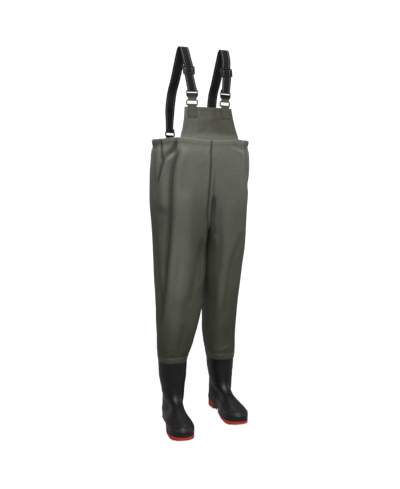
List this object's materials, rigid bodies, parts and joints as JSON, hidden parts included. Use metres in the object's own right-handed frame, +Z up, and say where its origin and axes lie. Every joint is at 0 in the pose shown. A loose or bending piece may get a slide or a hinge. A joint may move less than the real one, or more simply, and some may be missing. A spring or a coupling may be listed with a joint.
{
  "type": "chest waders",
  "caption": "Chest waders: coated-cloth trousers with a trapezoid bib, buckled webbing braces and welded-on rubber boots with lugged soles, standing empty.",
  "frame": {"origin": "on the floor under the middle of the whole object's box", "axes": "+Z up, the wearer faces -Y, the wearer's right side is at -X"},
  "size_m": [0.425, 0.4684, 1.5429],
  "materials": {
    "coated_cloth": "olive coated cloth, soft satin",
    "boot_rubber": "black moulded rubber, satin",
    "sole_rubber": "red moulded rubber",
    "insole_felt": "grey felt",
    "black_webbing": "black elastic webbing with two thin grey lines",
    "olive_webbing": "olive webbing",
    "black_plastic": "black moulded plastic",
    "olive_plastic": "olive-grey moulded plastic"
  },
  "bodies": {
    "root": {"trousers": "coated_cloth", "bib": "coated_cloth", "boot_upper_right": "boot_rubber", "outsole_right": "sole_rubber", "insole_right": "insole_felt", "brace_right": "black_webbing", "back_tab_right": "black_webbing", "front_tab_right": "olive_webbing", "slider_right": "black_plastic", "buckle_right": "black_plastic", "back_ring_right": "black_plastic", "front_ring_right": "olive_plastic", "boot_upper_left": "boot_rubber", "outsole_left": "sole_rubber", "insole_left": "insole_felt", "brace_left": "black_webbing", "back_tab_left": "black_webbing", "front_tab_left": "olive_webbing", "slider_left": "black_plastic", "buckle_left": "black_plastic", "back_ring_left": "black_plastic", "front_ring_left": "olive_plastic"}
  },
  "joints": []
}
